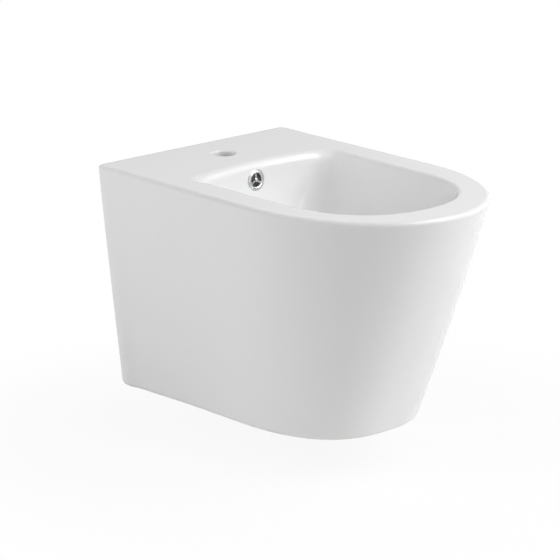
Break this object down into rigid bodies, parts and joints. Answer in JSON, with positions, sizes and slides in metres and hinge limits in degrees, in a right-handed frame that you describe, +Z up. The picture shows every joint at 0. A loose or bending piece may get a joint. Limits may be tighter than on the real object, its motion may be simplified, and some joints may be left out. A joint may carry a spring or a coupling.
{
  "type": "wall-hung bidet",
  "caption": "Wall-hung bidet of glazed china with a D-shaped bowl, tap hole, guarded overflow, push-open plug, trap and wall fixings.",
  "frame": {"origin": "in the finished wall plane, half way between the two wall studs", "axes": "+Y into the wall, -Y towards the bowl's nose, +Z up, X along the wall"},
  "size_m": [0.3596, 0.5377, 0.338],
  "materials": {
    "china": "glossy white glaze",
    "chrome": "polished chrome plate",
    "brass": "turned, unplated",
    "rubber": "matt",
    "plastic": "moulded, satin",
    "steel": "zinc plated"
  },
  "bodies": {
    "bidet": {"bidet_body": "china", "overflow_ring": "chrome", "waste_body": "chrome", "inlet_tube": "chrome", "inlet_nut": "chrome", "trap_bend": "chrome", "bend_inlet_nut": "chrome", "bend_outlet_nut": "chrome", "outlet_pipe": "chrome", "cleanout_plug": "chrome", "latch_housing": "brass", "waste_backnut": "brass", "flange_seal": "rubber", "outlet_seal": "rubber", "inlet_washer": "rubber", "bend_inlet_washer": "rubber", "bend_outlet_washer": "rubber", "cleanout_seal": "rubber", "slip_washer": "plastic", "fixing_sleeves": "plastic", "latch_spring": "steel", "fixing_washers": "steel", "fixing_nuts": "steel"},
    "plug": {"plug_cap": "chrome", "plug_seal": "rubber", "plug_stem": "brass"}
  },
  "joints": [
    {"name": "plug_travel", "type": "slide", "parent": "bidet", "child": "plug", "axis": [0, 0, 1], "range_m": [-0.008, 0], "stiffness_N_per_m": 800, "springref_m": 0.005, "deforming": ["latch_spring"]}
  ]
}
